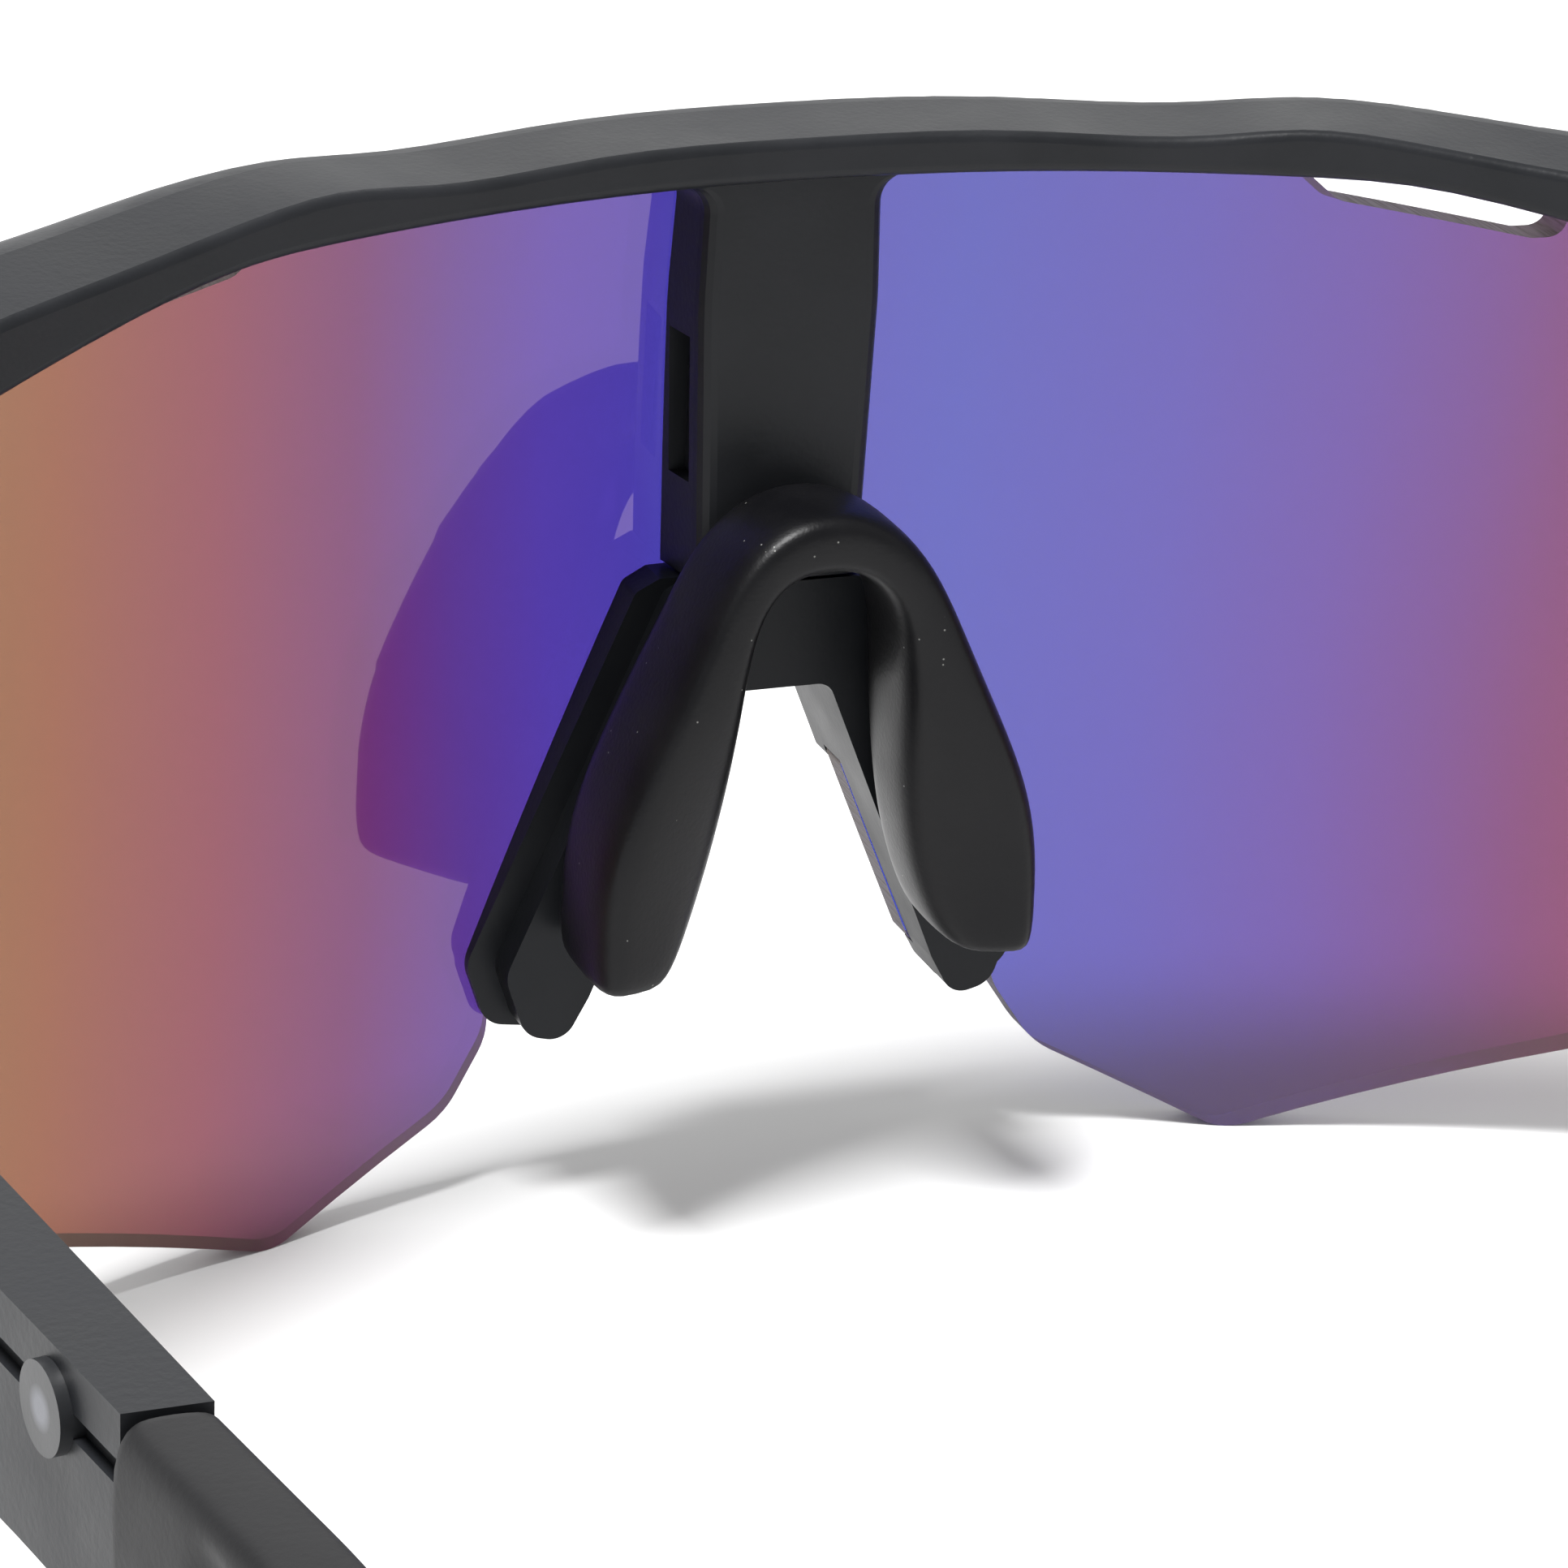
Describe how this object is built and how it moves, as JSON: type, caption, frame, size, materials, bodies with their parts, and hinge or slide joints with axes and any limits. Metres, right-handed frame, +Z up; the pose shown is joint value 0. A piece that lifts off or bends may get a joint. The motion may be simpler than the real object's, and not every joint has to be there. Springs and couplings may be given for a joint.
{
  "type": "wraparound sport sunglasses",
  "caption": "Wraparound sport sunglasses: one mirrored shield lens under a brow bar, clip-in nose saddle, folding temples with rubber ear socks.",
  "frame": {"origin": "on the surface that the glasses stand on, under the middle of the bounding box", "axes": "+Z up, -Y out through the lens, +Y back along the temples, +X to the wearer's left"},
  "size_m": [0.1447, 0.1686, 0.0541],
  "materials": {
    "frame_plastic": "fine matte black, moulded",
    "temple_plastic": "fine matte black, moulded",
    "carrier": "matte black, moulded",
    "lens": "smoke sheet with a blue-violet mirror film",
    "pad_rubber": "soft black rubber",
    "sock_rubber": "soft black rubber",
    "hinge_steel": "plain steel",
    "stud": "pale grey pressed dot"
  },
  "bodies": {
    "front": {"front_frame": "frame_plastic", "shield_lens": "lens", "nose_carrier": "carrier", "nose_pad": "pad_rubber", "front_hinge_leaf_left": "hinge_steel", "front_hinge_leaf_right": "hinge_steel", "hinge_screw_left": "hinge_steel", "hinge_screw_right": "hinge_steel"},
    "left_temple": {"temple_left": "temple_plastic", "ear_sock_left": "sock_rubber", "temple_hinge_leaf_left": "hinge_steel", "temple_stud_left": "stud"},
    "right_temple": {"temple_right": "temple_plastic", "ear_sock_right": "sock_rubber", "temple_hinge_leaf_right": "hinge_steel", "temple_stud_right": "stud"}
  },
  "joints": [
    {"name": "left_temple_fold", "type": "hinge", "parent": "front", "child": "left_temple", "pos_m": [0.065, -0.03898, 0.04524], "axis": [0, 0, 1], "range_deg": [0, 84]},
    {"name": "right_temple_fold", "type": "hinge", "parent": "front", "child": "right_temple", "pos_m": [-0.065, -0.03898, 0.04524], "axis": [0, 0, -1], "range_deg": [0, 74]}
  ]
}
